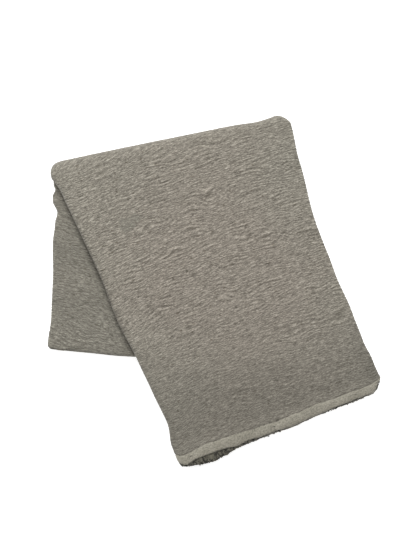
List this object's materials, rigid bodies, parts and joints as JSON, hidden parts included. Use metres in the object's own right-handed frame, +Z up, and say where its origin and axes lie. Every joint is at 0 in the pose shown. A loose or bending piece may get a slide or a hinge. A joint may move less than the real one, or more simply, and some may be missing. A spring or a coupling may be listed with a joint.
{
  "type": "folded cotton towel",
  "caption": "Crinkled cotton sports towel folded in half, in thirds and then over itself, lying flat with its hemmed end on top.",
  "frame": {"origin": "under the middle of the folded towel's bounding box, on the surface that it lies on", "axes": "+Z up from the surface, +Y from the hemmed end towards the main fold, +X to the right seen from above with the fold at the top"},
  "size_m": [0.1972, 0.2168, 0.0135],
  "materials": {
    "crinkled_cloth": "crinkled woven cotton, matt",
    "end_hem": "flat woven cotton, matt",
    "side_hem": "flat woven cotton, matt",
    "sewing_thread": "spun polyester thread",
    "overlock_thread": "fuzzy dark overlock thread"
  },
  "bodies": {
    "back_flap": {"back_outer_panel": "crinkled_cloth", "back_middle_panel": "crinkled_cloth", "back_inner_panel": "crinkled_cloth", "back_left_side_fold": "crinkled_cloth", "back_right_side_fold": "crinkled_cloth", "crosswise_fold": "crinkled_cloth", "back_middle_side_hem": "side_hem", "back_inner_side_hem": "side_hem", "back_side_hem_stitching": "sewing_thread", "outer_fold_roll": "crinkled_cloth", "middle_fold_roll": "crinkled_cloth", "inner_fold_roll": "crinkled_cloth"},
    "front_flap": {"front_outer_panel": "crinkled_cloth", "front_middle_panel": "crinkled_cloth", "front_inner_panel": "crinkled_cloth", "front_left_side_fold": "crinkled_cloth", "front_right_side_fold": "crinkled_cloth", "front_middle_side_hem": "side_hem", "front_inner_side_hem": "side_hem", "front_side_hem_stitching": "sewing_thread", "upper_end_hem": "end_hem", "lower_end_hem": "end_hem", "upper_end_hem_stitching": "sewing_thread", "lower_end_overlock": "overlock_thread"}
  },
  "joints": [
    {"name": "main_fold", "type": "hinge", "parent": "back_flap", "child": "front_flap", "pos_m": [-0.02506, 0.08549, 0.00675], "axis": [-0.9744, -0.225, 0], "range_deg": [0, 179], "deforming": ["outer_fold_roll", "middle_fold_roll", "inner_fold_roll"]}
  ]
}
